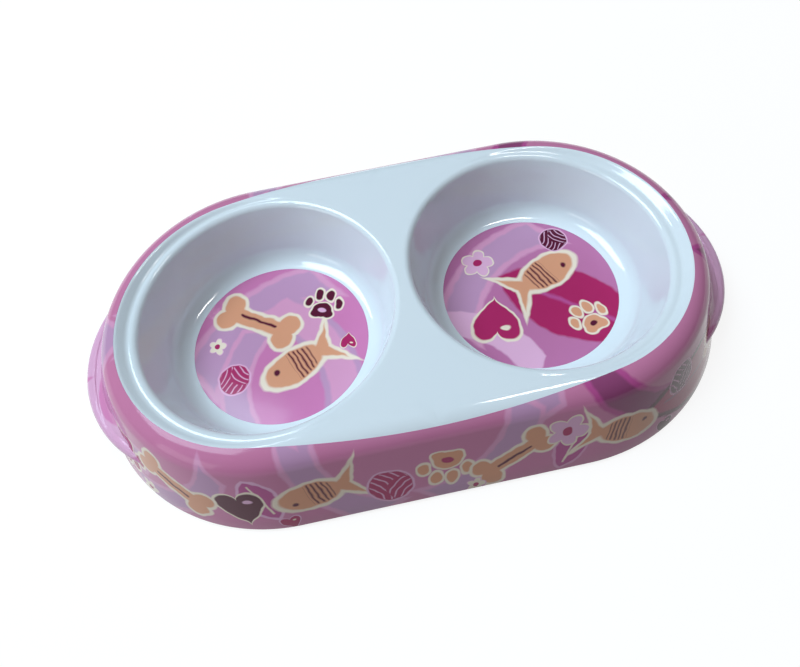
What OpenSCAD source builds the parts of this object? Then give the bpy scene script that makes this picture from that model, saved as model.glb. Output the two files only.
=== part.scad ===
// Double feeding bowl for small pets: a white deck with two round bowls, set into a flared
// outer skirt with a finger grip at each short end. X runs along the pair of bowls, Z is up,
// and the origin is under the middle of the deck, on the plane that the feet stand on.

/* [Overall] */
// Height from the table to the deck
total_h = 40; // [37:0.5:46]
// Distance between the centres of the two bowls
bowl_pitch = 120; // [116:1:136]

/* [Bowls] */
// Diameter of a bowl's mouth at the deck
mouth_d = 111; // [100:1:114]
// Diameter of a bowl's flat floor
floor_d = 82.2; // [70:0.2:86]
// Depth of a bowl below the deck
bowl_depth = 31.5; // [26:0.5:33]
// Wall of a bowl
bowl_t = 2.8; // [2:0.1:3.2]
// Radius between a bowl's floor and its wall
floor_fillet = 9; // [5:0.5:12]
// Radius of the rounded edge of a bowl's mouth
mouth_round = 3; // [1.5:0.1:3.2]

/* [Deck] */
// Thickness of the deck
deck_t = 4.4; // [3.8:0.1:5.5]
// How far the end arcs of the deck's outline lie outside a bowl's mouth
rim_margin = 5.5; // [5:0.1:7]
// How far these end arcs are centred outside the bowls
end_shift = 2.3; // [1.5:0.1:3]
// How far each long side of the deck bows out past the end arcs
rim_bow = 6; // [4:0.1:7]
// Depth of the recess round a bowl at the short ends
recess_drop = 2.1; // [0.5:0.1:2.4]
// Width of the flat ledge between a mouth's rounded edge and the lip's slope
ledge_w = 1; // [0.5:0.1:1.2]
// Width of the slope from the ledge up to the lip
lip_slope_w = 3.6; // [2.5:0.1:3.8]
// How far behind a bowl's centre the recess runs out
recess_back = 16; // [4:1:40]

/* [Skirt] */
// How far the end arcs of the skirt's top lie outside a bowl's mouth
skirt_margin = 8.6; // [8:0.1:10]
// How far these end arcs are centred outside the bowls
skirt_shift = 0.5; // [0:0.1:1.5]
// How far the base stands out past the skirt's top
flare = 19.9; // [16:0.1:24]
// Wall of the skirt
skirt_t = 2.8; // [2:0.1:3.4]
// Radius of the shoulder between rim and skirt
shoulder_r = 11; // [7:0.5:13]
// How far inside the skirt's top the shoulder is centred
shoulder_in = 3.2; // [3:0.1:5]
// Width of the seat that the deck rests on
seat_w = 3.2; // [2.4:0.1:3.4]
// Thickness of the seat
seat_t = 2.6; // [2:0.1:3.4]

/* [Grips] */
// How far a grip's nose stands out past the base
grip_nose = 2.6; // [2:0.1:6]
// Radius of a grip's outline, seen from above
grip_r = 59; // [52:0.2:64]
// Height of a grip's top above the table
grip_top = 18.9; // [16:0.1:21]
// Thickness of a grip at its edge
grip_t = 7.6; // [6:0.1:8.4]
// Radius that rounds a grip's edge above
grip_round = 4; // [2:0.1:4.5]
// Radius that rounds a grip's edge below
grip_under_round = 1.6; // [0.8:0.1:2]
// Radius of the hollow between a grip and the skirt's wall
grip_fillet = 6; // [4:0.1:7]
// Radius of the fine groove that follows the hollow
groove_r = 0.6; // [0.3:0.1:0.9]

/* [Feet] */
// Diameter of a rubber foot
foot_d = 9; // [7:0.5:10]
// How far a foot stands out below the base
foot_lift = 1.3; // [0.8:0.1:2]
// How deep a foot's pad sits in its socket
foot_sunk = 0.7; // [0.4:0.1:1]
// Diameter of a foot's plug
plug_d = 4.6; // [3:0.1:5]
// Length of a foot's plug
plug_h = 2.2; // [1.5:0.1:2.6]
// Diameter of the boss that holds a foot
boss_d = 13; // [12:0.5:15]
// Height of the boss
boss_h = 4; // [3.6:0.1:4.4]
// Angle of a foot round the end arc
foot_angle = 58; // [50:1:75]

/* [Print] */
// Thickness of the printed foils
foil_t = 0.3; // [0.2:0.05:0.4]
// Bare margin between a printed floor and the bowl's fillet
foil_margin = 0; // [0:0.1:2]

/* [Hidden] */
$fa = 1;
$fs = 0.4;
white = "#dfe9f0";
pink = "#c485b1";
print_pink = "#c87cb4";
rubber = "#3a3a3d";

// Overrun of a cut past the surface that it opens
over = 1;
// Steps in which an arc of an outline is drawn
arc_steps = 10;
// How far the recess's slope is drawn above the deck, as a share of the recess's depth
recess_over_share = 2;
// How far the side arcs lie inside the end arcs where they meet, as a share of the rim's bow
side_step_share = 0.01;
// Steps in which a full turn of a side arc is drawn
side_fn = 256;
// Part of the wall's thickness that a foot's boss runs into
boss_in_wall_share = 0.25;

// Levels
z_base = foot_lift;
z_floor = total_h - bowl_depth;
z_seat = total_h - deck_t;

// Plan of the deck: two end arcs about (end_c, 0) and two long side arcs of radius side_r
mouth_r = mouth_d / 2;
floor_r = floor_d / 2;
bowl_c = bowl_pitch / 2;
end_c = bowl_c + end_shift;
end_r = mouth_r + rim_margin;
half_w = end_r + rim_bow;
side_r = (end_c * end_c + half_w * half_w - end_r * end_r) / (2 * rim_bow);
side_c = side_r - half_w;
side_half_angle = atan2(end_c, side_c);
side_step = rim_bow * side_step_share;
side_cut = end_c + end_r * sin(side_half_angle);
rim_middle = end_r - 2 * half_w;

// Plan of the skirt's top: two half circles about (skirt_c, 0) and two straight sides
skirt_c = bowl_c + skirt_shift;
skirt_r = mouth_r + skirt_margin;
plan_reach = 2 * (skirt_c + skirt_r + flare);

// Bowl section: the straight wall leans out by bowl_lean and is tangent to the floor's fillet
wall_run = [mouth_r - floor_r, bowl_depth - floor_fillet];
bowl_lean = acos(floor_fillet / norm(wall_run)) - atan2(wall_run.y, wall_run.x);
mouth_round_c = mouth_r - mouth_round * tan(bowl_lean) + mouth_round / cos(bowl_lean);
recess_r = mouth_round_c + ledge_w;
recess_tilt = asin(recess_drop / (recess_r + recess_back));

// Skirt section: the shoulder's arc runs into a straight wall that leans out by skirt_lean
shoulder_z = total_h - shoulder_r;
base_run = [flare + shoulder_in, z_base - shoulder_z];
skirt_lean = atan2(base_run.y, base_run.x) + acos(shoulder_r / norm(base_run));

// Grip: its outline is an arc about (grip_c, 0), and its hollow follows the skirt's wall
grip_c = skirt_c + skirt_r + flare + grip_nose - grip_r;
grip_bottom = grip_top - grip_t;
hollow_z = grip_top + grip_fillet;
hollow_d = wall_d(hollow_z, 0) + grip_fillet / cos(skirt_lean);
foot_r = skirt_r + flare - skirt_t / cos(skirt_lean) - boss_d / 2 + skirt_t * boss_in_wall_share;

// Points on an arc about c, from angle a to angle b
function arc(c, r, a, b) = [for (i = [0:arc_steps]) let (t = a + (b - a) * i / arc_steps)
    [c.x + r * cos(t), c.y + r * sin(t)]];

// Distance of the skirt's surface outside the skirt's top at height z, lowered by inset
function wall_d(z, inset) = flare - inset / cos(skirt_lean) - (z - z_base) * tan(skirt_lean);

// Radius of a bowl's straight wall at height z, grown by t
function bowl_wall_r(z, t) = mouth_r - (total_h - z) * tan(bowl_lean) + t / cos(bowl_lean);

// Section of the shoulder and wall from the deck down to the base, lowered by inset
function outer_line(inset) = concat(
    arc([-shoulder_in, shoulder_z], shoulder_r - inset, 90, skirt_lean),
    [[wall_d(z_base, inset), z_base]]);

// Section of a bowl's inside, grown by t
function bowl_line(t) = concat([[0, z_floor - t]],
    arc([floor_r, z_floor + floor_fillet], floor_fillet + t, -90, -bowl_lean));

function reverse(list) = [for (i = [len(list) - 1:-1:0]) list[i]];

// Places of the feet round the two end arcs
function foot_places() = [for (sx = [-1, 1], sy = [-1, 1])
    [sx * (skirt_c + foot_r * cos(foot_angle)), sy * foot_r * sin(foot_angle)]];

// Room between the two planes where the side arcs end
module side_zone() {
    translate([-side_cut, -plan_reach / 2, -plan_reach / 2])
        cube([2 * side_cut, plan_reach, plan_reach]);
}

// Upright body inside the deck's outline, moved out by grow, from height low to height high
module deck_room(grow, low, high) {
    rise = high - low;
    for (turn = [0, 180]) difference() {
        rotate([0, 0, turn]) translate([end_c, 0, low]) cylinder(r = end_r + grow, h = rise);
        side_zone();
    }
    intersection() {
        union() for (turn = [0, 180]) rotate([0, 0, turn]) translate([0, -side_c, low])
            rotate_extrude(start = 90 - 2 * side_half_angle, angle = 4 * side_half_angle, $fn = side_fn)
                translate([side_r + rim_middle, 0]) square([grow - rim_middle - side_step, rise]);
        side_zone();
    }
}

// Sweep of a section round the skirt, where x = 0 of the section lies on the skirt's top outline
module skirt_sweep() {
    for (turn = [0, 180]) rotate([0, 0, turn]) {
        translate([skirt_c, 0, 0]) rotate_extrude(start = -90, angle = 180)
            translate([skirt_r, 0]) children();
        translate([-skirt_c, 0, 0]) rotate([90, 0, 90]) linear_extrude(height = 2 * skirt_c)
            translate([skirt_r, 0]) children();
    }
}

// Body inside the skirt's surface, open inside the bowls' mouths
module skirt_core() {
    line = [for (p = outer_line(0)) [skirt_r + p.x, p.y]];
    hole = mouth_r / 2;
    for (turn = [0, 180]) rotate([0, 0, turn])
        translate([skirt_c, 0, 0]) rotate_extrude(start = -90, angle = 180)
            polygon(concat([[hole, total_h]], line, [[hole, z_base]]));
    translate([-skirt_c, 0, 0]) rotate([90, 0, 90]) linear_extrude(height = 2 * skirt_c)
        polygon(concat(line, reverse([for (p = line) [-p.x, p.y]])));
}

// Space inside a bowl, with the mouth's rounded edge at the deck
module bowl_space() {
    rotate_extrude() polygon(concat(bowl_line(0),
        arc([mouth_round_c, total_h - mouth_round], mouth_round, 180 - bowl_lean, 90),
        [[mouth_round_c, total_h + over], [0, total_h + over]]));
}

// Recess round a bowl's mouth, tilted so that it runs out towards the middle of the deck
module bowl_recess() {
    rise = recess_drop * recess_over_share;
    translate([-recess_back, 0, total_h]) rotate([0, recess_tilt, 0]) translate([recess_back, 0, 0])
        rotate_extrude() polygon([[0, 0], [recess_r, 0],
            [recess_r + lip_slope_w * recess_over_share, rise], [0, rise]]);
}

// Printed disc in a bowl's floor
module floor_disc() {
    translate([0, 0, z_floor - foil_t]) cylinder(r = floor_r - foil_margin, h = foil_t);
}

module bowl_liner() color(white) {
    wall = bowl_wall_r(z_seat, bowl_t);
    difference() {
        union() {
            intersection() {
                skirt_core();
                deck_room(0, z_seat, total_h + over);
            }
            for (side = [-1, 1]) translate([side * bowl_c, 0, 0]) rotate_extrude()
                polygon(concat(bowl_line(bowl_t),
                    [[wall, z_seat], [wall, z_seat + deck_t / 2], [0, z_seat + deck_t / 2]]));
        }
        for (turn = [0, 180]) rotate([0, 0, turn]) translate([bowl_c, 0, 0]) {
            bowl_space();
            bowl_recess();
            floor_disc();
        }
    }
}

// Solid of revolution inside the skirt's surface at an end, lowered by inset
module end_core(inset) {
    translate([skirt_c, 0, 0]) rotate_extrude() polygon([[0, 0],
        [skirt_r + wall_d(0, inset), 0], [skirt_r + wall_d(total_h, inset), total_h], [0, total_h]]);
}

// One grip, lowered by inset where its foil lies: a disc about the grip's own arc, the hollow
// fillet that follows the skirt's wall above it, and the fine groove at the fillet's foot
module grip_form(inset) {
    edge = grip_r - inset;
    top = grip_top - inset;
    run = grip_fillet + over;
    difference() {
        union() {
            translate([grip_c, 0, 0]) rotate_extrude() polygon(concat(
                [[0, grip_bottom], [edge - grip_under_round, grip_bottom]],
                arc([edge - grip_under_round, grip_bottom + grip_under_round], grip_under_round, -90, 0),
                arc([edge - grip_round, top - grip_round], grip_round, 0, 90), [[0, top]]));
            intersection() {
                translate([skirt_c, 0, 0]) rotate_extrude() translate([skirt_r, 0]) polygon(concat(
                    arc([hollow_d, hollow_z], grip_fillet + inset, 180 + skirt_lean, 270),
                    [[hollow_d, top - over], [wall_d(hollow_z, skirt_t / 2), top - over],
                     [wall_d(hollow_z, skirt_t / 2), hollow_z]]));
                translate([grip_c, 0, top - over])
                    cylinder(r1 = edge - grip_round + over, r2 = edge - grip_round - run, h = run + over);
            }
        }
        translate([skirt_c, 0, 0]) rotate_extrude() translate([skirt_r + hollow_d, grip_top])
            circle(r = groove_r + inset);
    }
}

// Shell of the skirt: its wall and shoulder with the seat that the deck rests on
module skirt_shell() {
    t = skirt_t / cos(skirt_lean);
    ledge = z_seat - seat_t;
    difference() {
        skirt_sweep() polygon(concat([[-3 * seat_w, total_h - foil_t]], outer_line(foil_t),
            [[wall_d(z_base, 0) - t, z_base], [wall_d(ledge, 0) - t, ledge], [-3 * seat_w, ledge]]));
        deck_room(0, z_seat, total_h + over);
        deck_room(-seat_w, ledge - over, total_h);
    }
}

module outer_skirt() color(pink) {
    difference() {
        union() {
            skirt_shell();
            for (turn = [0, 180]) rotate([0, 0, turn]) difference() {
                grip_form(foil_t);
                end_core(skirt_t / 2);
            }
            for (p = foot_places()) translate([p.x, p.y, z_base]) cylinder(d = boss_d, h = boss_h);
        }
        for (p = foot_places()) translate([p.x, p.y, 0]) foot_body();
    }
}

// Printed foil on the front half of the skirt, out from the deck's outline and down to the base
module half_foil() {
    difference() {
        skirt_sweep() polygon(concat([[-2 * shoulder_in, total_h]], outer_line(0),
            reverse(outer_line(foil_t)), [[-2 * shoulder_in, total_h - foil_t]]));
        deck_room(0, z_seat, total_h + over);
        translate([-plan_reach / 2, 0, -over]) cube([plan_reach, plan_reach, plan_reach]);
        for (turn = [0, 180]) rotate([0, 0, turn]) grip_form(0);
    }
}

// Printed foil on the top and edge of the right grip
module grip_foil() {
    difference() {
        grip_form(0);
        grip_form(foil_t);
        end_core(foil_t);
    }
}

// One rubber foot: a pad with a plug above it
module foot_body() {
    cylinder(d = foot_d, h = foot_lift + foot_sunk);
    cylinder(d = plug_d, h = foot_lift + foot_sunk + plug_h);
}

module foot(place) color(rubber) translate([place.x, place.y, 0]) foot_body();

module front_skirt_foil() color(print_pink) half_foil();

module rear_skirt_foil() color(print_pink) rotate([0, 0, 180]) half_foil();

module left_grip_foil() color(print_pink) rotate([0, 0, 180]) grip_foil();

module right_grip_foil() color(print_pink) grip_foil();

module left_floor_foil() color(print_pink) translate([-bowl_c, 0, 0]) floor_disc();

module right_floor_foil() color(print_pink) translate([bowl_c, 0, 0]) floor_disc();

module foot_front_left() foot(foot_places()[0]);

module foot_rear_left() foot(foot_places()[1]);

module foot_front_right() foot(foot_places()[2]);

module foot_rear_right() foot(foot_places()[3]);

bowl_liner();
outer_skirt();
front_skirt_foil();
rear_skirt_foil();
left_grip_foil();
right_grip_foil();
left_floor_foil();
right_floor_foil();
foot_front_left();
foot_front_right();
foot_rear_left();
foot_rear_right();
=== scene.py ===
"""Double feeding bowl: a glossy white deck with two bowls in a flared skirt with printed foils.

Sizes are in millimetres until a finished piece is scaled to metres. The front of the dish is at
-Y, its right end at +X, and it stands on z = 0.
"""

import math

import bmesh
import bpy
from mathutils import Matrix, Vector


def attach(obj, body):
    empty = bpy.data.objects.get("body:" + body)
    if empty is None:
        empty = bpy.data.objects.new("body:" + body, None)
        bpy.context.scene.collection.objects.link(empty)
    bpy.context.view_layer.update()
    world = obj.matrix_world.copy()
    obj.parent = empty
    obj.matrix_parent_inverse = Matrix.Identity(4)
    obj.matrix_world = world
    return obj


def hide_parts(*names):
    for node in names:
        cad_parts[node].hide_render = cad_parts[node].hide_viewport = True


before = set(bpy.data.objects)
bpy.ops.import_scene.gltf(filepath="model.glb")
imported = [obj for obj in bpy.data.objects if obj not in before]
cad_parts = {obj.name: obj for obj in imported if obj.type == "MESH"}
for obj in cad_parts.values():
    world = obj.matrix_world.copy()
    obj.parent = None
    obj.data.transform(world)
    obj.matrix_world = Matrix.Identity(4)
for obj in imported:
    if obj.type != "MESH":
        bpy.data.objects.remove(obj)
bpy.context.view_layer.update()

# One millimetre in metres, and how close in mm counts as one point or one level
METRES = 0.001
MERGE_WITHIN = 0.002
SLIVER = 0.0005
NEARLY = 0.001
ROUGHLY = 0.01
FULL_TURN = 2 * math.pi

# Levels and the section of a bowl
DECK_Z = 40.0
SEAT_Z = 35.6
BASE_Z = 1.3
BOWL_X = 60.0
BOWL_FLOOR_R = 41.1
BOWL_FLOOR_Z = 8.5
BOWL_FILLET = 9.0
BOWL_CORNER = (BOWL_FLOOR_R, BOWL_FLOOR_Z + BOWL_FILLET)
BOWL_WALL = 2.8
BOWL_LEAN = math.radians(12.93)  # of the wall, from upright
MOUTH_ROUND = 3.0
MOUTH_TOP_R = 58.3
FLOOR_RING_R = 20.0

# Recess round a bowl, tilted so that it runs out towards the middle
RECESS_DROP = 3.1
RECESS_R = 59.3
RECESS_BACK = 16.0  # how far the tilt runs past the bowl's centre
RECESS_SLOPE = 0.8611
RECESS_SOFT = 0.8

# Outline of the white deck: end arcs about (DECK_END_X, 0) and bowed long sides
DECK_END_X = 62.3
DECK_END_R = 61.0
DECK_HALF_WIDTH = 66.94
SIDE_R = (DECK_END_X**2 + DECK_HALF_WIDTH**2 - DECK_END_R**2) / (2 * (DECK_HALF_WIDTH - DECK_END_R))
SIDE_Y = SIDE_R - DECK_HALF_WIDTH

# Rays and rings that the deck is drawn on, with closer rings near its lip
RAYS = 256
RAY_REACH = 160.0
DECK_RINGS = 4
LIP_RINGS = 22
LIP_ZONE = 7.0
LIP_SHARE = 0.8

# Skirt: half circles about (SKIRT_X, 0) with straight long sides, and its section
SKIRT_X = 60.5
SKIRT_R = 64.1
SHOULDER_R = 11.0
SHOULDER_IN = 3.2
SHOULDER_Z = 29.0
SKIRT_LEAN = math.radians(22.069)
LEAN_Z = SHOULDER_Z + SHOULDER_R * math.sin(SKIRT_LEAN)
FLARE = 19.9
SKIRT_WALL = 2.8
WALL_RINGS = (20.0, 8.0)
INNER_RING_Z = 18.0
BASE_ROUND = 0.9
FOIL_BACK_ROUND = 0.6
BASE_CHAMFER = 0.6
SEAT_IN = 3.2
SEAT_UNDER_Z = 33.0
FIT_REACH = 10.0  # most that the deck's outline lies off the skirt's top
SIDE_STEPS = 32
QUARTER_STEPS = 65

# Grips: a hollow against the skirt, a groove at its foot, a flat top and a rounded nose
GRIP_X = 88.1
GRIP_R = 59.0
GRIP_TOP = 18.9
GRIP_UNDER = 11.3
GRIP_ROUND = 4.0
GRIP_UNDER_ROUND = 1.6
GRIP_SOFT = 1.0
HOLLOW_R = 6.0
HOLLOW_FROM_END = 80.9
ROOT_SINK = 0.25  # puts the hollow's upper end just under the skirt's printed face
GROOVE_R = 0.6
GROOVE_DEPTH = 0.8  # as a share of the groove's radius
GRIP_REACH = math.radians(39.5)
GRIP_ROOT_R = 74.1
GRIP_END_R = 76.8

# Least top and rounding that a grip keeps where it runs out at its sides, and its grid
LEAST_TOP = 0.3
LEAST_ROUND = 0.2
GRIP_COLUMNS = 84
TOP_ROWS = 30
NOSE_ROWS = 10
EDGE_ROWS = 5

# Foils, and how their print is measured out
FOIL = 0.3
DISC_RING_R = 40.2
DISC_CHAMFER_R = 0.12
DISC_CHAMFER_Z = 0.1
SKIRT_PRINT_OUT = 9.0
GRIP_PRINT_R = 82.0
GRIP_EDGE_PRINT = 0.8

# Feet, and the bosses that hold them
FEET = [(sx * 100.34, sy * 63.76) for sx in (-1, 1) for sy in (-1, 1)]
FOOT_NODES = ("foot_front_left", "foot_rear_left", "foot_front_right", "foot_rear_right")
BOSS_R = 6.5
BOSS_TOP = 5.3
BOSS_CHAMFER = 0.3
POCKET_R = 4.6
POCKET_TOP = 2.0
SOCKET_R = 2.35
SOCKET_TOP = 4.25
PAD_R = 4.5
PAD_ROUND = 0.6
PLUG_R = 2.3
PLUG_TOP = 4.2


# Shared shapes
def arc_points(centre, radius, start, end, steps):
    """Points on an arc of a section, from one angle to another in degrees."""
    angles = [math.radians(start + (end - start) * i / steps) for i in range(steps + 1)]
    return [(centre[0] + radius * math.cos(a), centre[1] + radius * math.sin(a)) for a in angles]


def soft_min(a, b, blend):
    h = max(blend - abs(a - b), 0.0) / blend
    return min(a, b) - h * h * blend / 4


def soft_max(a, b, blend):
    return -soft_min(-a, -b, blend)


def between(start, end, share):
    return [a + (b - a) * share for a, b in zip(start, end)]


def reach_of(inside, low, high, halvings):
    """How far inside(reach) holds, found by halving the span from low to high."""
    for _ in range(halvings):
        middle = (low + high) / 2
        if inside(middle):
            low = middle
        else:
            high = middle
    return middle


def section_wire(bm, points, place, closed=False):
    """Draw a section as a wire, each point set by place(distance, height)."""
    verts = [bm.verts.new(place(d, z)) for d, z in points]
    pairs = list(zip(verts, verts[1:]))
    if closed:
        pairs.append((verts[-1], verts[0]))
    return verts + [bm.edges.new(pair) for pair in pairs]


def turn_section(bm, geom, x, angle, steps):
    """Turn a section about an upright axis at x and return its last place."""
    out = bmesh.ops.spin(
        bm, geom=geom, cent=Vector((x, 0, 0)), axis=Vector((0, 0, 1)),
        angle=angle, steps=steps, use_merge=False,
    )
    return out["geom_last"]


def slide_section(bm, geom, run):
    """Draw a section along X and return its last place."""
    out = bmesh.ops.spin(
        bm, geom=geom, cent=Vector(), axis=Vector((0, 0, 1)),
        dvec=Vector((run / SIDE_STEPS, 0, 0)), angle=0.0, steps=SIDE_STEPS, use_merge=False,
    )
    return out["geom_last"]


def spin_round(bm, section, centre, steps):
    """Spin a section of radii and heights all the way about an upright axis."""
    x, y = centre
    bmesh.ops.spin(
        bm, geom=section_wire(bm, section, lambda r, z: (x + r, y, z)),
        cent=Vector((x, y, 0)), axis=Vector((0, 0, 1)),
        angle=FULL_TURN, steps=steps, use_merge=True,
    )


def open_edges(bm):
    return [e for e in bm.edges if e.is_boundary]


def grow_ring(bm, place):
    """Extrude the open edges once and set each new vertex by place(old position)."""
    out = bmesh.ops.extrude_edge_only(bm, edges=open_edges(bm))
    for v in out["geom"]:
        if isinstance(v, bmesh.types.BMVert):
            v.co = place(v.co)


def merge_doubles(bm):
    bmesh.ops.remove_doubles(bm, verts=bm.verts, dist=MERGE_WITHIN)


def face_outwards(bm):
    bmesh.ops.recalc_face_normals(bm, faces=bm.faces)


def fill_holes(bm):
    bmesh.ops.holes_fill(bm, edges=open_edges(bm), sides=0)


def close_seams(bm):
    """Merge doubles, drop slivers and turn every face outwards."""
    merge_doubles(bm)
    bmesh.ops.dissolve_degenerate(bm, edges=bm.edges, dist=SLIVER)
    face_outwards(bm)


def turn_to_other_end(bm):
    """Turn a piece half a turn about the middle of the dish."""
    half_turn = Matrix.Rotation(math.pi, 3, "Z")
    bmesh.ops.rotate(bm, verts=bm.verts, cent=Vector(), matrix=half_turn)


def lay_print(bm, place):
    """Give a foil its print's own coordinates in mm, by place(x, y, z)."""
    layout = bm.loops.layers.uv.new("print")
    for f in bm.faces:
        for loop in f.loops:
            loop[layout].uv = place(*loop.vert.co)


def finish_piece(bm, name, finish, node, crease=32.0):
    """Scale a piece to metres, smooth it but for its creases, and hang it on the dish."""
    for e in bm.edges:
        e.smooth = len(e.link_faces) != 2 or e.calc_face_angle(0.0) < math.radians(crease)
    for f in bm.faces:
        f.smooth = True
    bmesh.ops.scale(bm, vec=Vector((METRES, METRES, METRES)), verts=bm.verts)
    mesh = bpy.data.meshes.new(name)
    bm.to_mesh(mesh)
    bm.free()
    piece = bpy.data.objects.new(name, mesh)
    bpy.context.scene.collection.objects.link(piece)
    mesh.materials.append(finish)
    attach(piece, "root")
    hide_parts(node)


# The deck and its bowls
def outside_deck(x, y):
    """Distance of a point outside the deck's outline, below zero on the deck."""
    if (abs(x) - DECK_END_X) * SIDE_Y > abs(y) * DECK_END_X:
        return math.hypot(abs(x) - DECK_END_X, y) - DECK_END_R
    return math.hypot(x, abs(y) + SIDE_Y) - SIDE_R


def from_skirt_line(x, y):
    """Nearest point on the line between the skirt's two end centres, and how far off it is."""
    near = max(-SKIRT_X, min(SKIRT_X, x))
    return near, math.hypot(x - near, y)


def shoulder_z(distance):
    """Height of the rounded shoulder at a distance outside the skirt's top."""
    run = max(distance + SHOULDER_IN, 0.0)
    return SHOULDER_Z + math.sqrt(max(SHOULDER_R**2 - run * run, 0.0))


def recess_drop(x):
    """Drop of the recess's tilted plane at x on the right half, below zero past its end."""
    return RECESS_DROP * (x - BOWL_X + RECESS_BACK) / (RECESS_R + RECESS_BACK)


def deck_height(x, y):
    """Height of the deck with the lip outside the recess, on the right half."""
    ledge = DECK_Z - recess_drop(x)
    slope = ledge + (math.hypot(x - BOWL_X, y) - RECESS_R) * RECESS_SLOPE
    top = shoulder_z(from_skirt_line(x, y)[1] - SKIRT_R)
    return soft_min(top, soft_max(ledge, slope, RECESS_SOFT), RECESS_SOFT)


def on_ray(k, reach):
    """Point at a reach from the right bowl's centre, on its ray k."""
    angle = FULL_TURN * k / RAYS
    return BOWL_X + reach * math.cos(angle), reach * math.sin(angle)


def ray_of(co):
    return round(math.atan2(co.y, co.x - BOWL_X) / FULL_TURN * RAYS) % RAYS


def deck_ray_end(k):
    """Where ray k from the right bowl's centre meets the deck's outline or the middle plane."""
    corner_ray = round(math.atan2(DECK_HALF_WIDTH, -BOWL_X) / FULL_TURN * RAYS)
    if k in (corner_ray, RAYS - corner_ray):
        return 0.0, math.copysign(DECK_HALF_WIDTH, RAYS / 2 - k)

    def on_deck(reach):
        x, y = on_ray(k, reach)
        return x > 0 and outside_deck(x, y) < 0
    return on_ray(k, reach_of(on_deck, 0.0, RAY_REACH, halvings=44))


def bowl_and_mouth(bm):
    """The inside of the right bowl, its rounded mouth sunk to the tilted recess."""
    floor_z = BOWL_FLOOR_Z - FOIL
    lean = math.degrees(BOWL_LEAN)
    section = [(0, floor_z), (FLOOR_RING_R, floor_z), (BOWL_FLOOR_R, floor_z)]
    section += arc_points(BOWL_CORNER, BOWL_FILLET, -90, -lean, steps=14)
    section += arc_points((MOUTH_TOP_R, DECK_Z - MOUTH_ROUND), MOUTH_ROUND, 180 - lean, 90, steps=12)
    spin_round(bm, section, (BOWL_X, 0), steps=RAYS)
    merge_doubles(bm)
    mouth_from = DECK_Z - MOUTH_ROUND * (1 - math.sin(BOWL_LEAN)) - NEARLY
    for v in bm.verts:
        if v.co.z >= mouth_from:
            drop = max(recess_drop(v.co.x), 0.0)
            keep = 1 - drop * math.tan(BOWL_LEAN) / math.hypot(v.co.x - BOWL_X, v.co.y)
            v.co = (BOWL_X + (v.co.x - BOWL_X) * keep, v.co.y * keep, v.co.z - drop)


def deck_top(bm, ends):
    """Carry the mouth's edge out over the deck to its outline."""
    starts = {ray_of(v.co): (v.co.x, v.co.y) for v in bm.verts if v.is_boundary}
    for ring in range(1, DECK_RINGS + LIP_RINGS + 1):
        def place(co):
            start, end = starts[ray_of(co)], ends[ray_of(co)]
            length = math.hypot(end[0] - start[0], end[1] - start[1])
            lip = min(LIP_ZONE, length * LIP_SHARE)
            if ring <= DECK_RINGS:
                share = (length - lip) / length * ring / DECK_RINGS
            else:
                share = 1 - lip / length * (1 - (ring - DECK_RINGS) / LIP_RINGS)
            x, y = between(start, end, share)
            return Vector((x, y, deck_height(x, y)))
        grow_ring(bm, place)


def deck_underside(bm, ends):
    """Turn the deck's edge under and follow the bowl's wall to the middle of its floor."""
    grow_ring(bm, lambda co: Vector((co.x, co.y, (co.z + SEAT_Z) / 2)))
    grow_ring(bm, lambda co: Vector((co.x, co.y, SEAT_Z)))
    fillet = BOWL_FILLET + BOWL_WALL
    rise = SEAT_Z - (BOWL_CORNER[1] - fillet * math.sin(BOWL_LEAN))
    wall_r = BOWL_FLOOR_R + fillet * math.cos(BOWL_LEAN) + rise * math.tan(BOWL_LEAN)
    for share in (0.5, 1.0):
        def place_flat(co):
            k = ray_of(co)
            return Vector((*between(ends[k], on_ray(k, wall_r), share), SEAT_Z))
        grow_ring(bm, place_flat)
    under_z = BOWL_FLOOR_Z - BOWL_WALL
    wall = arc_points(BOWL_CORNER, fillet, -math.degrees(BOWL_LEAN), -90, steps=12)
    for radius, z in wall + [(FLOOR_RING_R, under_z), (0, under_z)]:
        grow_ring(bm, lambda co: Vector((*on_ray(ray_of(co), radius), z)))


def deck_moulding(finish):
    """The white moulding: two bowls and the deck, drawn as one half and mirrored."""
    bm = bmesh.new()
    ends = [deck_ray_end(k) for k in range(RAYS)]
    bowl_and_mouth(bm)
    deck_top(bm, ends)
    deck_underside(bm, ends)
    in_middle_plane = [f for f in bm.faces if all(abs(v.co.x) < NEARLY for v in f.verts)]
    bmesh.ops.delete(bm, geom=in_middle_plane, context="FACES_ONLY")
    merge_doubles(bm)
    half = bm.verts[:] + bm.edges[:] + bm.faces[:]
    bmesh.ops.mirror(bm, geom=half, axis="X", merge_dist=MERGE_WITHIN)
    close_seams(bm)
    finish_piece(bm, "white_deck_and_bowls", finish, "bowl_liner")


# The skirt
def skirt_wall_d(z, inset=0.0):
    """Distance of the skirt's straight wall outside the skirt's top at height z."""
    return FLARE - inset / math.cos(SKIRT_LEAN) - (z - BASE_Z) * math.tan(SKIRT_LEAN)


def outer_line(inset):
    """Section of the skirt's outside from its top down to the rounded base edge."""
    radius = SHOULDER_R - inset
    start = math.degrees(math.acos(SHOULDER_IN / radius))
    lean = math.degrees(SKIRT_LEAN)
    line = arc_points((-SHOULDER_IN, SHOULDER_Z), radius, start, lean, steps=14)
    return line + [(skirt_wall_d(z, inset), z) for z in WALL_RINGS]


def base_edge(inset, soft):
    """Section of the rounded corner between the skirt's wall and its base."""
    z = BASE_Z + soft
    d = skirt_wall_d(z, inset) + soft * math.sin(SKIRT_LEAN) * math.tan(SKIRT_LEAN)
    centre = (d - soft / math.cos(SKIRT_LEAN), z)
    return arc_points(centre, soft, math.degrees(SKIRT_LEAN), -90, steps=5)


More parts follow.
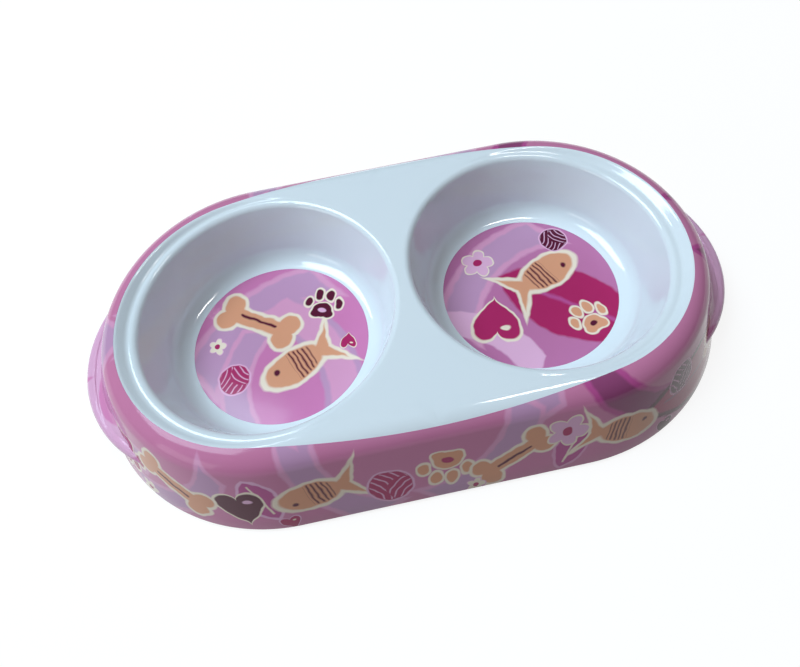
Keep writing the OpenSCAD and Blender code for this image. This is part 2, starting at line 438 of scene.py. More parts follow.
def fit_to_deck(bm):
    """Move the shoulder's upper edge and the seat along the section to the deck's outline."""
    for v in bm.verts:
        near, reach = from_skirt_line(v.co.x, v.co.y)
        distance, z = reach - SKIRT_R, v.co.z
        seat = distance < NEARLY and SEAT_UNDER_Z - NEARLY < z < SEAT_Z + NEARLY
        radius = math.hypot(distance + SHOULDER_IN, z - SHOULDER_Z)
        angle = math.atan2(z - SHOULDER_Z, distance + SHOULDER_IN)
        if not seat and (radius < SHOULDER_R - FOIL - ROUGHLY or angle < SKIRT_LEAN + NEARLY):
            continue
        out = Vector((v.co.x - near, v.co.y, 0)) / reach

        def on_deck(edge):
            return outside_deck(near + out.x * (SKIRT_R + edge), out.y * (SKIRT_R + edge)) < 0
        edge = reach_of(on_deck, -FIT_REACH, FIT_REACH, halvings=30)
        if seat:
            distance += edge
        else:
            share = (angle - SKIRT_LEAN) / (math.acos(SHOULDER_IN / radius) - SKIRT_LEAN)
            angle = SKIRT_LEAN + share * (math.acos((edge + SHOULDER_IN) / radius) - SKIRT_LEAN)
            distance = radius * math.cos(angle) - SHOULDER_IN
            z = SHOULDER_Z + radius * math.sin(angle)
        v.co = (near + out.x * (SKIRT_R + distance), out.y * (SKIRT_R + distance), z)


def skirt_ring(bm):
    """The skirt's wall and seat, run once round the dish."""
    inner = skirt_wall_d(BASE_Z, SKIRT_WALL)
    section = outer_line(FOIL) + base_edge(FOIL, BASE_ROUND) + [
        (inner + BASE_CHAMFER, BASE_Z),
        (inner, BASE_Z + BASE_CHAMFER),
        (skirt_wall_d(INNER_RING_Z, SKIRT_WALL), INNER_RING_Z),
        (skirt_wall_d(SEAT_UNDER_Z, SKIRT_WALL), SEAT_UNDER_Z),
        (-SEAT_IN, SEAT_UNDER_Z),
        (-SEAT_IN, SEAT_Z),
        (0.0, SEAT_Z),
    ]
    geom = section_wire(bm, section, lambda d, z: (-SKIRT_X, -SKIRT_R - d, z), closed=True)
    for end in (SKIRT_X, -SKIRT_X):
        geom = slide_section(bm, geom, 2 * end)
        geom = turn_section(bm, geom, end, math.pi, 2 * QUARTER_STEPS)
    fit_to_deck(bm)
    close_seams(bm)


def skirt_body(finish):
    """The pink moulding: the ring with its seat, both grips and the bosses for the feet."""
    bm = bmesh.new()
    skirt_ring(bm)
    for turned in (True, False):
        grip = grip_skin(FOIL)
        close_grip(grip)
        if turned:
            turn_to_other_end(grip)
        spare = bpy.data.meshes.new("grip_core")
        grip.to_mesh(spare)
        grip.free()
        bm.from_mesh(spare)
        bpy.data.meshes.remove(spare)
    boss = [
        (0, BOSS_TOP), (BOSS_R - BOSS_CHAMFER, BOSS_TOP), (BOSS_R, BOSS_TOP - BOSS_CHAMFER),
        (BOSS_R, BASE_Z), (POCKET_R, BASE_Z), (POCKET_R, POCKET_TOP),
        (SOCKET_R, POCKET_TOP), (SOCKET_R, SOCKET_TOP), (0, SOCKET_TOP),
    ]
    for place in FEET:
        spin_round(bm, boss, place, steps=48)
    merge_doubles(bm)
    face_outwards(bm)
    finish_piece(bm, "pink_skirt_body", finish, "outer_skirt")


def along_skirt(x, y):
    """Distance along the skirt at its middle height, from the middle of the front at -Y."""
    turn = math.atan2(max(abs(x) - SKIRT_X, 0.0), -y)
    return math.copysign(min(abs(x), SKIRT_X) + turn * (SKIRT_R + SKIRT_PRINT_OUT), x)


def down_skirt(distance, z):
    """Distance down the skirt's section from the skirt's top."""
    start = math.acos(SHOULDER_IN / SHOULDER_R)
    if z > LEAN_Z:
        return (start - math.atan2(z - SHOULDER_Z, distance + SHOULDER_IN)) * SHOULDER_R
    return (start - SKIRT_LEAN) * SHOULDER_R + (LEAN_Z - z) / math.cos(SKIRT_LEAN)


def skirt_foil(name, finish, node, behind):
    """The printed foil on the front or rear half, with its print laid out along the skirt."""
    bm = bmesh.new()
    face = outer_line(0) + base_edge(0, BASE_ROUND)[:-1]
    back = outer_line(FOIL) + base_edge(FOIL, FOIL_BACK_ROUND)[:-1]
    geom = section_wire(bm, face + back[::-1], lambda d, z: (-SKIRT_X - SKIRT_R - d, 0, z), closed=True)
    geom = turn_section(bm, geom, -SKIRT_X, math.pi / 2, QUARTER_STEPS)
    geom = slide_section(bm, geom, 2 * SKIRT_X)
    turn_section(bm, geom, SKIRT_X, math.pi / 2, QUARTER_STEPS)
    fit_to_deck(bm)
    merge_doubles(bm)
    fill_holes(bm)
    face_outwards(bm)

    def place(x, y, z):
        y = min(y, -NEARLY)
        return along_skirt(x, y), down_skirt(from_skirt_line(x, y)[1] - SKIRT_R, z)
    lay_print(bm, place)
    if behind:
        turn_to_other_end(bm)
    finish_piece(bm, name, finish, node, crease=40.0)


# The grips
def nose_radius(angle):
    """Radius of a grip's nose about the skirt's end centre."""
    off = GRIP_X - SKIRT_X
    return off * math.cos(angle) + math.sqrt(GRIP_R**2 - (off * math.sin(angle)) ** 2)


def grip_height(radius, nose):
    """Height of a grip's top: the hollow with its groove, cut by the rounded nose."""
    tangent_r = HOLLOW_FROM_END - HOLLOW_R * math.cos(SKIRT_LEAN)
    tangent_z = GRIP_TOP + HOLLOW_R - HOLLOW_R * math.sin(SKIRT_LEAN)
    if radius < tangent_r:
        rise = math.tan(math.radians(90) - SKIRT_LEAN)
        hollow = tangent_z + (tangent_r - radius) * rise - ROOT_SINK
    elif radius < HOLLOW_FROM_END:
        run = HOLLOW_FROM_END - radius
        hollow = GRIP_TOP + HOLLOW_R - math.sqrt(HOLLOW_R**2 - run * run)
    else:
        hollow = GRIP_TOP
    off = abs(radius - HOLLOW_FROM_END)
    if off < GROOVE_R:
        hollow -= math.sqrt(GROOVE_R**2 - off * off) * GROOVE_DEPTH
    flat = GRIP_R - GRIP_ROUND
    if nose < flat:
        edge = GRIP_TOP + (flat - nose)
    else:
        edge = GRIP_TOP - GRIP_ROUND + math.sqrt(max(GRIP_ROUND**2 - (nose - flat) ** 2, 0.0))
    return soft_min(hollow, edge, GRIP_SOFT)


def grip_point(angle, row, inset):
    """Point of the right grip's skin: down the hollow, over the nose and under."""
    def on_grip(radius):
        return SKIRT_X + radius * math.cos(angle), radius * math.sin(angle)

    def top_z(radius):
        x, y = on_grip(radius)
        return grip_height(radius, math.hypot(x - GRIP_X, y))

    reach = nose_radius(angle)
    round_from = max(reach - GRIP_ROUND, GRIP_ROOT_R + LEAST_TOP)
    if row <= TOP_ROWS:
        radius = GRIP_ROOT_R + (round_from - GRIP_ROOT_R) * row / TOP_ROWS
        z = top_z(radius) - inset
    elif row <= TOP_ROWS + NOSE_ROWS:
        share = math.sin(math.pi / 2 * (row - TOP_ROWS) / NOSE_ROWS)
        radius = round_from + (reach - round_from) * share
        z = top_z(radius) - inset * (1 - share)
        radius -= inset * share
    else:
        turn = math.pi / 2 * (row - TOP_ROWS - NOSE_ROWS - 1) / (EDGE_ROWS - 1)
        round_in = min(GRIP_UNDER_ROUND, max(reach - GRIP_END_R, LEAST_ROUND))
        radius = reach - inset - round_in * (1 - math.cos(turn))
        z = GRIP_UNDER + GRIP_UNDER_ROUND * (1 - math.sin(turn))
    return (*on_grip(radius), z)


def grip_skin(inset):
    """The right grip's skin as a grid round its end, without its root and underside."""
    bm = bmesh.new()
    rows = TOP_ROWS + NOSE_ROWS + EDGE_ROWS
    bmesh.ops.create_grid(bm, x_segments=GRIP_COLUMNS, y_segments=rows, size=1.0)
    for v in bm.verts:
        v.co = grip_point(v.co.x * GRIP_REACH, round((v.co.y + 1) / 2 * rows), inset)
    return bm


def close_grip(bm):
    """Close a grip's skin below and at its root and its two sides."""
    def at_root(v):
        return abs(math.hypot(v.co.x - SKIRT_X, v.co.y) - GRIP_ROOT_R) < ROUGHLY

    def at_bottom(v):
        return abs(v.co.z - GRIP_UNDER) < ROUGHLY

    rim = open_edges(bm)
    loops = [e for test in (at_root, at_bottom) for e in rim if all(map(test, e.verts))]
    bmesh.ops.bridge_loops(bm, edges=loops)
    fill_holes(bm)
    face_outwards(bm)


def grip_foil(name, finish, node, turned):
    """The printed foil over a grip's top and edge."""
    bm = grip_skin(0.0)
    face_outwards(bm)
    if sum(f.normal.z * f.calc_area() for f in bm.faces) < 0:
        bmesh.ops.reverse_faces(bm, faces=bm.faces)

    def place(x, y, z):
        along = math.atan2(y, x - SKIRT_X) * GRIP_PRINT_R
        down = (math.hypot(x - SKIRT_X, y) - GRIP_ROOT_R) + max(GRIP_TOP - z, 0) * GRIP_EDGE_PRINT
        return along, down
    lay_print(bm, place)
    bmesh.ops.solidify(bm, geom=bm.faces[:], thickness=FOIL)
    face_outwards(bm)
    if turned:
        turn_to_other_end(bm)
    finish_piece(bm, name, finish, node, crease=50.0)


# Small round pieces
def spun_piece(name, section, centre, finish, node, steps):
    bm = bmesh.new()
    spin_round(bm, section, centre, steps)
    close_seams(bm)
    finish_piece(bm, name, finish, node)


def floor_disc(name, side, finish, node):
    top = BOWL_FLOOR_Z
    section = [
        (0, top), (FLOOR_RING_R, top), (DISC_RING_R, top), (BOWL_FLOOR_R - DISC_CHAMFER_R, top),
        (BOWL_FLOOR_R, top - DISC_CHAMFER_Z), (BOWL_FLOOR_R, top - FOIL), (0, top - FOIL),
    ]
    spun_piece(name, section, (side * BOWL_X, 0), finish, node, steps=128)


def rubber_foot(name, place, finish, node):
    pad_edge = arc_points((PAD_R - PAD_ROUND, PAD_ROUND), PAD_ROUND, -90, 0, steps=5)
    section = [(0, 0)] + pad_edge + [
        (PAD_R, POCKET_TOP), (PLUG_R, POCKET_TOP), (PLUG_R, PLUG_TOP), (0, PLUG_TOP),
    ]
    spun_piece(name, section, place, finish, node, steps=40)


# Colours
def paint(red, green, blue):
    """A colour written in 0 to 255 as it should look, as the linear values that shaders take."""
    def linear(c):
        c /= 255.0
        return c / 12.92 if c <= 0.04045 else ((c + 0.055) / 1.055) ** 2.4
    return (linear(red), linear(green), linear(blue), 1.0)


DEEP_PINK = paint(190, 84, 148)
PEACH = paint(226, 160, 126)
CREAM = paint(245, 228, 208)
CRIMSON = paint(178, 44, 100)
MAROON = paint(92, 30, 54)
MAUVE = paint(198, 152, 188)
ROSE = paint(222, 158, 194)
PLUM = paint(150, 74, 118)
PALE_PINK = paint(232, 180, 212)

# Pairs that a surface is clouded between
DECK_WHITE = (paint(234, 242, 247), paint(226, 236, 244))
SKIRT_PINK = (paint(206, 130, 176), paint(190, 112, 160))
LEFT_FLOOR_GROUND = (paint(214, 132, 182), paint(202, 112, 166))
RIGHT_FLOOR_GROUND = (paint(200, 126, 172), paint(184, 104, 154))
SKIRT_GROUND = (paint(212, 134, 172), paint(196, 112, 152))
GRIP_GROUND = (paint(224, 146, 192), paint(212, 128, 178))
FOOT_GREY = (paint(52, 51, 54), paint(92, 90, 92))


class Bench:
    """Short ways to add and wire the nodes of one tree."""

    def __init__(self, tree):
        self.tree = tree

    def feed(self, socket, value):
        if isinstance(value, bpy.types.NodeSocket):
            self.tree.links.new(value, socket)
        else:
            socket.default_value = value

    def dress(self, node, inputs):
        for label, value in inputs.items():
            self.feed(node.inputs[label], value)

    def add(self, kind, inputs=None, **settings):
        node = self.tree.nodes.new(kind)
        for key, value in settings.items():
            setattr(node, key, value)
        self.dress(node, inputs or {})
        return node

    def calc(self, operation, *values):
        node = self.add("ShaderNodeMath", operation=operation)
        for socket, value in zip(node.inputs, values):
            self.feed(socket, value)
        return node.outputs[0]

    def plus(self, a, b):
        return self.calc("ADD", a, b)

    def minus(self, a, b):
        return self.calc("SUBTRACT", a, b)

    def times(self, a, b):
        return self.calc("MULTIPLY", a, b)

    def largest(self, a, b):
        return self.calc("MAXIMUM", a, b)

    def size(self, a):
        return self.calc("ABSOLUTE", a)

    def vector(self, operation, *values):
        node = self.add("ShaderNodeVectorMath", operation=operation)
        for socket, value in zip(node.inputs, values):
            self.feed(socket, value)
        return node.outputs["Value" if operation in ("LENGTH", "DISTANCE") else "Vector"]

    def split(self, at):
        node = self.add("ShaderNodeSeparateXYZ", {"Vector": at})
        return node.outputs["X"], node.outputs["Y"]

    def point(self, x, y):
        return self.add("ShaderNodeCombineXYZ", {"X": x, "Y": y}).outputs[0]

    def fold(self, at, both=False):
        """Fold a figure on its middle line, or on both its lines."""
        x, y = self.split(at)
        return self.point(self.size(x), self.size(y) if both else y)

    def spot(self, at, centre, radius):
        return self.minus(self.vector("DISTANCE", at, (*centre, 0)), radius)

    def oval(self, at, centre, radii):
        shifted = self.vector("SUBTRACT", at, (*centre, 0))
        scaled = self.vector("DIVIDE", shifted, (*radii, 1))
        return self.times(self.minus(self.vector("LENGTH", scaled), 1.0), min(radii))

    def bar(self, at, half_length, half_width):
        held = self.vector("MINIMUM", at, (half_length, 0, 0))
        held = self.vector("MAXIMUM", held, (-half_length, 0, 0))
        return self.minus(self.vector("DISTANCE", at, held), half_width)

    def join(self, a, b, soft=0.0):
        return self.calc("SMOOTH_MIN", a, b, soft) if soft else self.calc("MINIMUM", a, b)

    def spread(self, value, start, end, low, high):
        """Turn the span from start to end into the span from low to high, held at both ends."""
        return self.add("ShaderNodeMapRange", {
            "Value": value, "From Min": start, "From Max": end, "To Min": low, "To Max": high,
        }, clamp=True).outputs["Result"]

    def inside(self, distance, soft=0.02):
        """1 inside an outline and 0 outside it, with a soft edge."""
        return self.spread(distance, -soft, soft, 1.0, 0.0)

    def lay(self, under, over, share):
        """Lay one colour over another by a share."""
        inputs = {"Factor": share, "A": under, "B": over}
        return self.add("ShaderNodeMix", inputs, data_type="RGBA").outputs["Result"]

    def noise(self, at, scale, detail):
        return self.add("ShaderNodeTexNoise", {"Vector": at, "Scale": scale, "Detail": detail})

    def object_place(self):
        return self.add("ShaderNodeTexCoord").outputs["Object"]


# Printed figures
def motif(name, draw):
    """A printed figure as a node group.

    draw takes a place in the figure's own frame, about -1 to 1 on each side, and returns the
    distances to its outline and to its inner details, below zero inside them.
    """
    tree = bpy.data.node_groups.new(name, "ShaderNodeTree")
    tree.interface.new_socket("Place", in_out="INPUT", socket_type="NodeSocketVector")
    for label in ("Under", "Fill", "Line", "Detail"):
        tree.interface.new_socket(label, in_out="INPUT", socket_type="NodeSocketColor")
    tree.interface.new_socket("Colour", in_out="OUTPUT", socket_type="NodeSocketColor")
    b = Bench(tree)
    source = b.add("NodeGroupInput").outputs
    line_width, line_inset = 0.085, 0.03
    outline, detail = draw(b, source["Place"])
    colour = b.lay(source["Under"], source["Line"], b.inside(b.minus(outline, line_width)))
    colour = b.lay(colour, source["Fill"], b.inside(outline))
    if detail is not None:
        shown = b.times(b.inside(detail), b.inside(b.plus(outline, line_inset)))
        colour = b.lay(colour, source["Detail"], shown)
    b.add("NodeGroupOutput", {"Colour": colour})
    return tree


def draw_paw_print(b, at):
    fold = b.fold(at)
    pad = b.join(b.oval(at, (0, -0.28), (0.46, 0.38)), b.spot(fold, (0.3, -0.46), 0.24), 0.1)
    toes = b.join(b.oval(fold, (0.27, 0.58), (0.2, 0.29)), b.oval(fold, (0.74, 0.14), (0.18, 0.26)))
    return b.join(pad, toes), b.oval(at, (0.0, -0.3), (0.2, 0.13))


def draw_bone(b, at):
    ends = b.spot(b.fold(at, both=True), (0.76, 0.21), 0.25)
    shine = b.bar(b.vector("SUBTRACT", at, (0, 0.03, 0)), 0.45, 0.035)
    return b.join(b.bar(at, 0.7, 0.19), ends, 0.06), shine


def draw_fish(b, at):
    x, y = b.split(at)
    body = b.oval(at, (-0.18, 0), (0.72, 0.4))
    wedge = b.minus(b.size(y), b.times(b.minus(x, 0.34), 0.85))
    notch = b.minus(x, b.plus(b.times(b.size(y), 0.45), 0.72))
    tail = b.largest(b.times(wedge, 0.7), notch)
    from_bone = b.minus(b.calc("PINGPONG", b.plus(x, 0.08), 0.11), 0.055)
    ribs = b.largest(b.minus(b.size(from_bone), 0.022), b.minus(b.size(b.minus(x, 0.05)), 0.26))
    return b.join(body, tail, 0.06), b.join(ribs, b.spot(at, (-0.6, 0.1), 0.065))


def draw_heart(b, at):
    x, y = b.split(at)
    dip = b.times(b.calc("SQRT", b.plus(b.size(x), 0.002)), 0.8)
    lift = b.minus(b.times(y, 1.15), dip)
    round_r = b.vector("LENGTH", b.point(x, b.plus(lift, 0.3)))
    return b.times(b.minus(round_r, 0.82), 0.85), b.oval(at, (-0.34, 0.34), (0.17, 0.1))


def draw_ball(b, at):
    def strands(centre):
        rings = b.calc("PINGPONG", b.vector("DISTANCE", at, (*centre, 0)), 0.13)
        return b.times(b.minus(0.028, b.minus(0.13, rings)), -1.0)
    first = b.largest(strands((1.4, 1.1)), b.spot(at, (0.45, 0.25), 0.62))
    second = b.largest(strands((-1.5, 0.8)), b.times(b.spot(at, (0.45, 0.25), 0.66), -1.0))
    return b.spot(at, (0, 0), 0.8), b.join(first, second)


def draw_daisy(b, at):
    x, y = b.split(at)
    lobes = b.times(b.size(b.calc("COSINE", b.times(b.calc("ARCTAN2", y, x), 2.5))), 0.34)
    return b.minus(b.minus(b.vector("LENGTH", at), 0.5), lobes), b.spot(at, (0, 0), 0.24)


def draw_leaf(b, at):
    return b.largest(b.spot(at, (0, 0.55), 1.0), b.spot(at, (0, -0.55), 1.0)), b.bar(at, 0.62, 0.03)


def draw_swoosh(b, at):
    ring = b.minus(b.size(b.spot(at, (0, -1.6), 1.7)), 0.2)
    return b.largest(ring, b.minus(b.size(b.split(at)[0]), 1.0)), None


def motif_set():
    return {
        "paw": motif("printed_paw", draw_paw_print),
        "bone": motif("printed_bone", draw_bone),
        "fish": motif("printed_fish", draw_fish),
        "heart": motif("printed_heart", draw_heart),
        "ball": motif("printed_wool_ball", draw_ball),
        "daisy": motif("printed_daisy", draw_daisy),
        "leaf": motif("printed_leaf", draw_leaf),
        "swoosh": motif("printed_swoosh", draw_swoosh),
    }


# Surfaces
def orange_peel(b, place, strength, distance, scale=900.0):
    """The faint waviness of glossy moulded melamine, with finer dust specks on it."""
    wave = b.noise(place, scale * 0.25, detail=2.0).outputs["Fac"]
    grain = b.noise(place, scale * 2.2, detail=3.0).outputs["Fac"]
    height = b.plus(wave, b.times(grain, 0.25))
    inputs = {"Strength": strength, "Distance": distance, "Height": height}
    return b.add("ShaderNodeBump", inputs).outputs["Normal"]


def worn_gloss(b, place, low, high):
    """Roughness that changes a little over the surface, with fine wiping marks."""
    patch = b.noise(place, scale=28.0, detail=5.0).outputs["Fac"]
    marks = b.add("ShaderNodeMapping", {
        "Vector": place, "Scale": (60.0, 900.0, 60.0), "Rotation": (0, 0, 0.5),
    }).outputs[0]
    fine = b.noise(marks, scale=1.0, detail=2.0).outputs["Fac"]
    mixed = b.plus(b.times(patch, 0.7), b.times(fine, 0.3))
    return b.spread(mixed, 0.3, 0.7, low, high)


def clouded(b, place, colours, scale, amount):
    """The first of two colours with clouds of the other."""
    cloud = b.noise(place, scale, detail=4.0).outputs["Fac"]
    return b.lay(*colours, b.times(cloud, amount))


def new_finish(name):
    """A new material, with a bench for its nodes and its surface shader."""
    material = bpy.data.materials.new(name)
    material.use_nodes = True
    shader = next(n for n in material.node_tree.nodes if n.type == "BSDF_PRINCIPLED")
    return material, Bench(material.node_tree), shader


def melamine(name, colours):
    material, b, shader = new_finish(name)
    place = b.object_place()
    b.dress(shader, {
        "Base Color": clouded(b, place, colours, scale=36.0, amount=0.35),
        "Roughness": worn_gloss(b, place, low=0.045, high=0.1),
        "Normal": orange_peel(b, place, strength=0.1, distance=0.0002),
        "Coat Weight": 0.25,
        "Coat Roughness": 0.03,
    })
    return material


def rubber(name, colours):
    material, b, shader = new_finish(name)
    place = b.object_place()
    b.dress(shader, {
        "Base Color": clouded(b, place, colours, scale=220.0, amount=0.6),
        "Roughness": worn_gloss(b, place, low=0.6, high=0.85),
        "Normal": orange_peel(b, place, strength=0.3, distance=0.0003, scale=1500.0),
    })
    return material


def shaken(b, at):
    """Coordinates of a print with the small bends of a hand-drawn one."""
    shake = b.noise(at, scale=0.16, detail=1.0).outputs["Color"]
    off = b.vector("MULTIPLY", b.vector("SUBTRACT", shake, (0.5, 0.5, 0.5)), (2.2, 2.2, 0.0))
    return b.vector("ADD", at, off)


def printed_foil(name, motifs, layout, ground, centre=None):
    """Glossy printed melamine foil, on its own coordinates or flat about a centre.

    layout lists each figure's kind, place, turn, size and colours.
    """
    material, b, shader = new_finish(name)
    place = b.object_place()
    if centre is None:
        at = b.add("ShaderNodeUVMap", uv_map="print").outputs[0]
    else:
        at = b.add("ShaderNodeMapping", {
            "Vector": place,
            "Location": (centre[0] * METRES, centre[1] * METRES, BOWL_FLOOR_Z * METRES),
            "Scale": (METRES, METRES, 1000.0),
        }, vector_type="TEXTURE").outputs[0]
    at = shaken(b, at)
    colour = clouded(b, place, ground, scale=30.0, amount=0.5)
    for kind, x, y, turn, size, fill, line, detail in layout:
        width, height = size if isinstance(size, tuple) else (size, size)
        spot = b.add("ShaderNodeMapping", {
            "Vector": at,
            "Location": (x, y, 0),
            "Rotation": (0, 0, math.radians(turn)),
            "Scale": (width, height, 1.0),
        }, vector_type="TEXTURE").outputs[0]
        figure = b.add("ShaderNodeGroup", {
            "Place": spot, "Under": colour, "Fill": fill, "Line": line, "Detail": detail,
        }, node_tree=motifs[kind])
        colour = figure.outputs["Colour"]
    b.dress(shader, {
        "Base Color": colour,
        "Roughness": worn_gloss(b, place, low=0.07, high=0.14),
        "Normal": orange_peel(b, place, strength=0.1, distance=0.0002),
        "Specular IOR Level": 0.2,
        "Coat Weight": 0.05,
        "Coat Roughness": 0.04,
    })
    return material


# Figure, along, down, turn in degrees, half size in mm, fill, line and detail
FRONT_LAYOUT = [
    ("swoosh", -152, 18, 24, 30, MAUVE, ROSE, MAUVE),
    ("swoosh", -104, 30, -40, 24, MAUVE, ROSE, MAUVE),
    ("swoosh", -46, 22, 62, 28, MAUVE, ROSE, MAUVE),
    ("swoosh", 20, 26, -48, 28, MAUVE, ROSE, MAUVE),
    ("swoosh", 84, 16, 36, 30, PLUM, DEEP_PINK, MAUVE),
    ("swoosh", 142, 24, -30, 26, PLUM, DEEP_PINK, MAUVE),
    ("leaf", -72, 24, 70, 15, DEEP_PINK, PALE_PINK, CREAM),
    ("leaf", 52, 30, 112, 14, DEEP_PINK, ROSE, CREAM),
    ("leaf", 118, 30, 8, (40, 26), CRIMSON, MAROON, PLUM),
    ("fish", -163, 26, 14, 17, PEACH, CREAM, MAROON),
    ("paw", -135, 27, -16, 12, CRIMSON, CREAM, PALE_PINK),
    ("bone", -108, 25, 28, 17, PEACH, CREAM, MAROON),
    ("heart", -80, 29, 170, 11, MAROON, CREAM, PALE_PINK),
    ("fish", -50, 25, -12, 18, PEACH, CREAM, MAROON),
    ("ball", -22, 30, 0, 11, CRIMSON, PALE_PINK, PALE_PINK),
    ("paw", 1, 25, 12, 12, PEACH, CREAM, CRIMSON),
    ("bone", 28, 28, -32, 17, PEACH, CREAM, MAROON),
    ("daisy", 50, 20, 10, 10, PALE_PINK, CREAM, CRIMSON),
    ("fish", 72, 27, 194, 17, PEACH, CREAM, MAROON),
    ("ball", 103, 20, 0, 9, MAROON, ROSE, ROSE),
    ("paw", 132, 27, -20, 11, PEACH, CREAM, CRIMSON),
    ("heart", 150, 25, 188, 11, CRIMSON, CREAM, CREAM),
    ("fish", 176, 27, 166, 16, PEACH, CREAM, MAROON),
    ("daisy", -122, 40, 0, 5, CREAM, PALE_PINK, CRIMSON),
    ("heart", -64, 40, 172, 4.5, CRIMSON, PALE_PINK, CREAM),
    ("daisy", 12, 41, 0, 5, CREAM, PALE_PINK, CRIMSON),
    ("heart", 92, 41, 186, 4.5, MAROON, ROSE, ROSE),
]
REAR_LAYOUT = [(kind, -x, y, -turn, *rest) for kind, x, y, turn, *rest in FRONT_LAYOUT]
GRIP_LAYOUT = [
    ("swoosh", -22, 7, 12, 24, PALE_PINK, PALE_PINK, MAUVE),
    ("swoosh", 30, 9, -18, 22, PALE_PINK, PALE_PINK, MAUVE),
]
LEFT_FLOOR_LAYOUT = [
    ("swoosh", -12, 16, 34, 36, MAUVE, ROSE, MAUVE),
    ("swoosh", 18, -8, -66, 34, ROSE, MAUVE, MAUVE),
    ("swoosh", -20, -18, 82, 26, MAUVE, ROSE, MAUVE),
    ("bone", -10, 13, -34, 20, PEACH, CREAM, MAROON),
    ("fish", 8, -13, 24, 20, PEACH, CREAM, MAROON),
    ("paw", 22, 15, -18, 10, MAROON, CREAM, PALE_PINK),
    ("ball", -23, -15, 0, 9, CRIMSON, PALE_PINK, PALE_PINK),
    ("daisy", -30, 4, 0, 5, CREAM, PALE_PINK, CRIMSON),
    ("heart", 31, -7, 172, 4.5, CRIMSON, CREAM, CREAM),
]
RIGHT_FLOOR_LAYOUT = [
    ("leaf", 16, -11, -38, (38, 34), CRIMSON, CRIMSON, DEEP_PINK),
    ("swoosh", -16, 16, 40, 34, MAUVE, ROSE, MAUVE),
    ("swoosh", -24, -20, -40, 24, PALE_PINK, PALE_PINK, MAUVE),
    ("heart", -20, -12, 168, 13, CRIMSON, CREAM, CREAM),
    ("fish", 8, 7, 204, 20, PEACH, CREAM, MAROON),
    ("paw", 22, -21, 20, 10, PEACH, CREAM, MAROON),
    ("ball", 20, 26, 0, 8, MAROON, PALE_PINK, PALE_PINK),
    ("daisy", -20, 21, 0, 9, PALE_PINK, CREAM, CRIMSON),
]


# The whole dish
def build_dish():
    deck_moulding(melamine("glossy_white_melamine", DECK_WHITE))
    skirt_body(melamine("glossy_pink_melamine", SKIRT_PINK))
    motifs = motif_set()
    front = printed_foil("front_skirt_print", motifs, FRONT_LAYOUT, SKIRT_GROUND)
    rear = printed_foil("rear_skirt_print", motifs, REAR_LAYOUT, SKIRT_GROUND)
    grip = printed_foil("grip_print", motifs, GRIP_LAYOUT, GRIP_GROUND)
    skirt_foil("front_skirt_print_foil", front, "front_skirt_foil", behind=False)
    skirt_foil("rear_skirt_print_foil", rear, "rear_skirt_foil", behind=True)
    grip_foil("right_grip_print_foil", grip, "right_grip_foil", turned=False)
    grip_foil("left_grip_print_foil", grip, "left_grip_foil", turned=True)
    for end, side, layout, ground in (
        ("left", -1, LEFT_FLOOR_LAYOUT, LEFT_FLOOR_GROUND),
        ("right", 1, RIGHT_FLOOR_LAYOUT, RIGHT_FLOOR_GROUND),
    ):
        finish = printed_foil(end + "_floor_print", motifs, layout, ground, (side * BOWL_X, 0))
        floor_disc(end + "_floor_print_foil", side, finish, end + "_floor_foil")
    dark = rubber("foot_rubber_matt", FOOT_GREY)
    for place, node in zip(FEET, FOOT_NODES):
        rubber_foot("rubber_" + node, place, dark, node)


# Studio
def lamp(name, place, size, power, colour):
    """A rectangular soft light that points at the middle of the dish."""
    light = bpy.data.lights.new(name, "AREA")
    light.shape = "RECTANGLE"
    light.size, light.size_y = size
    light.energy = power
    light.color = colour
    holder = bpy.data.objects.new(name, light)
    bpy.context.scene.collection.objects.link(holder)
    holder.location = place
    holder.rotation_euler = (-Vector(place)).to_track_quat("-Z", "Y").to_euler()


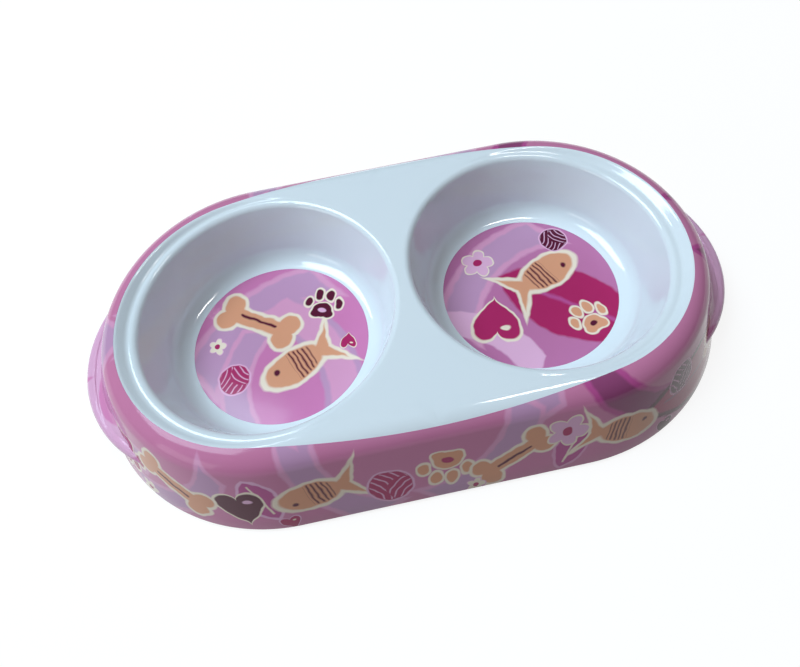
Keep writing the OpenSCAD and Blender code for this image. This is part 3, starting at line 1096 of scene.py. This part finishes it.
def paper_floor():
    """A pale floor that looks white from the camera and in reflections."""
    bm = bmesh.new()
    bmesh.ops.create_grid(bm, x_segments=1, y_segments=1, size=6.0)
    mesh = bpy.data.meshes.new("studio_floor")
    bm.to_mesh(mesh)
    bm.free()
    floor = bpy.data.objects.new("studio_floor", mesh)
    bpy.context.scene.collection.objects.link(floor)
    material, b, shader = new_finish("white_paper_floor")
    path = b.add("ShaderNodeLightPath").outputs
    mirrored = b.largest(path["Is Glossy Ray"], path["Is Transmission Ray"])
    b.dress(shader, {
        "Base Color": (0.15, 0.15, 0.15, 1),
        "Roughness": 0.9,
        "Emission Color": (1, 1, 1, 1),
        "Emission Strength": b.times(b.largest(path["Is Camera Ray"], mirrored), 0.87),
    })
    mesh.materials.append(material)


def white_room():
    """A world that is white to the camera and faintly pink as a light."""
    world = bpy.data.worlds.new("studio_world")
    bpy.context.scene.world = world
    world.use_nodes = True
    world.node_tree.nodes.clear()
    b = Bench(world.node_tree)
    white = b.add("ShaderNodeBackground", {"Color": (1, 1, 1, 1), "Strength": 1.0})
    room = b.add("ShaderNodeBackground", {"Color": (1.0, 0.96, 0.97, 1), "Strength": 0.1})
    mix = b.add("ShaderNodeMixShader", {
        "Fac": b.add("ShaderNodeLightPath").outputs["Is Camera Ray"],
        1: room.outputs[0],
        2: white.outputs[0],
    })
    b.add("ShaderNodeOutputWorld", {"Surface": mix.outputs[0]})


def photo_camera():
    """The camera at the photograph's viewing angle."""
    right = Vector((0.9788, -0.1933, -0.0678))
    down = Vector((-0.2019, -0.8546, -0.4785))
    place = Vector((-0.01409, -0.13726, 0.24168))
    back = right.cross(-down).normalized()
    right.normalize()
    up = back.cross(right).normalized()
    camera = bpy.data.cameras.new("photo_camera")
    camera.lens = 25.77
    camera.sensor_width = 36.0
    camera.sensor_fit = "HORIZONTAL"
    holder = bpy.data.objects.new("photo_camera", camera)
    bpy.context.scene.collection.objects.link(holder)
    turn = Matrix((right, up, back)).transposed().to_4x4()
    holder.matrix_world = Matrix.Translation(place) @ turn
    bpy.context.scene.camera = holder


def studio():
    """White floor and background, soft light from the rear left, and the camera."""
    paper_floor()
    white_room()
    lamp("window_light", (-1.205, 0.44, 2.05), (1.5, 1.1), 50.0, (0.715, 0.89, 1.0))
    lamp("small_window", (0.6, 0.3, 2.3), (0.2, 0.5), 7.0, (1.0, 0.98, 0.97))
    lamp("left_fill", (-1.5, -0.9, 0.5), (0.9, 0.7), 4.5, (1.0, 0.95, 0.95))
    photo_camera()
    bpy.context.scene.view_settings.view_transform = "Standard"


build_dish()
studio()
bpy.context.view_layer.update()
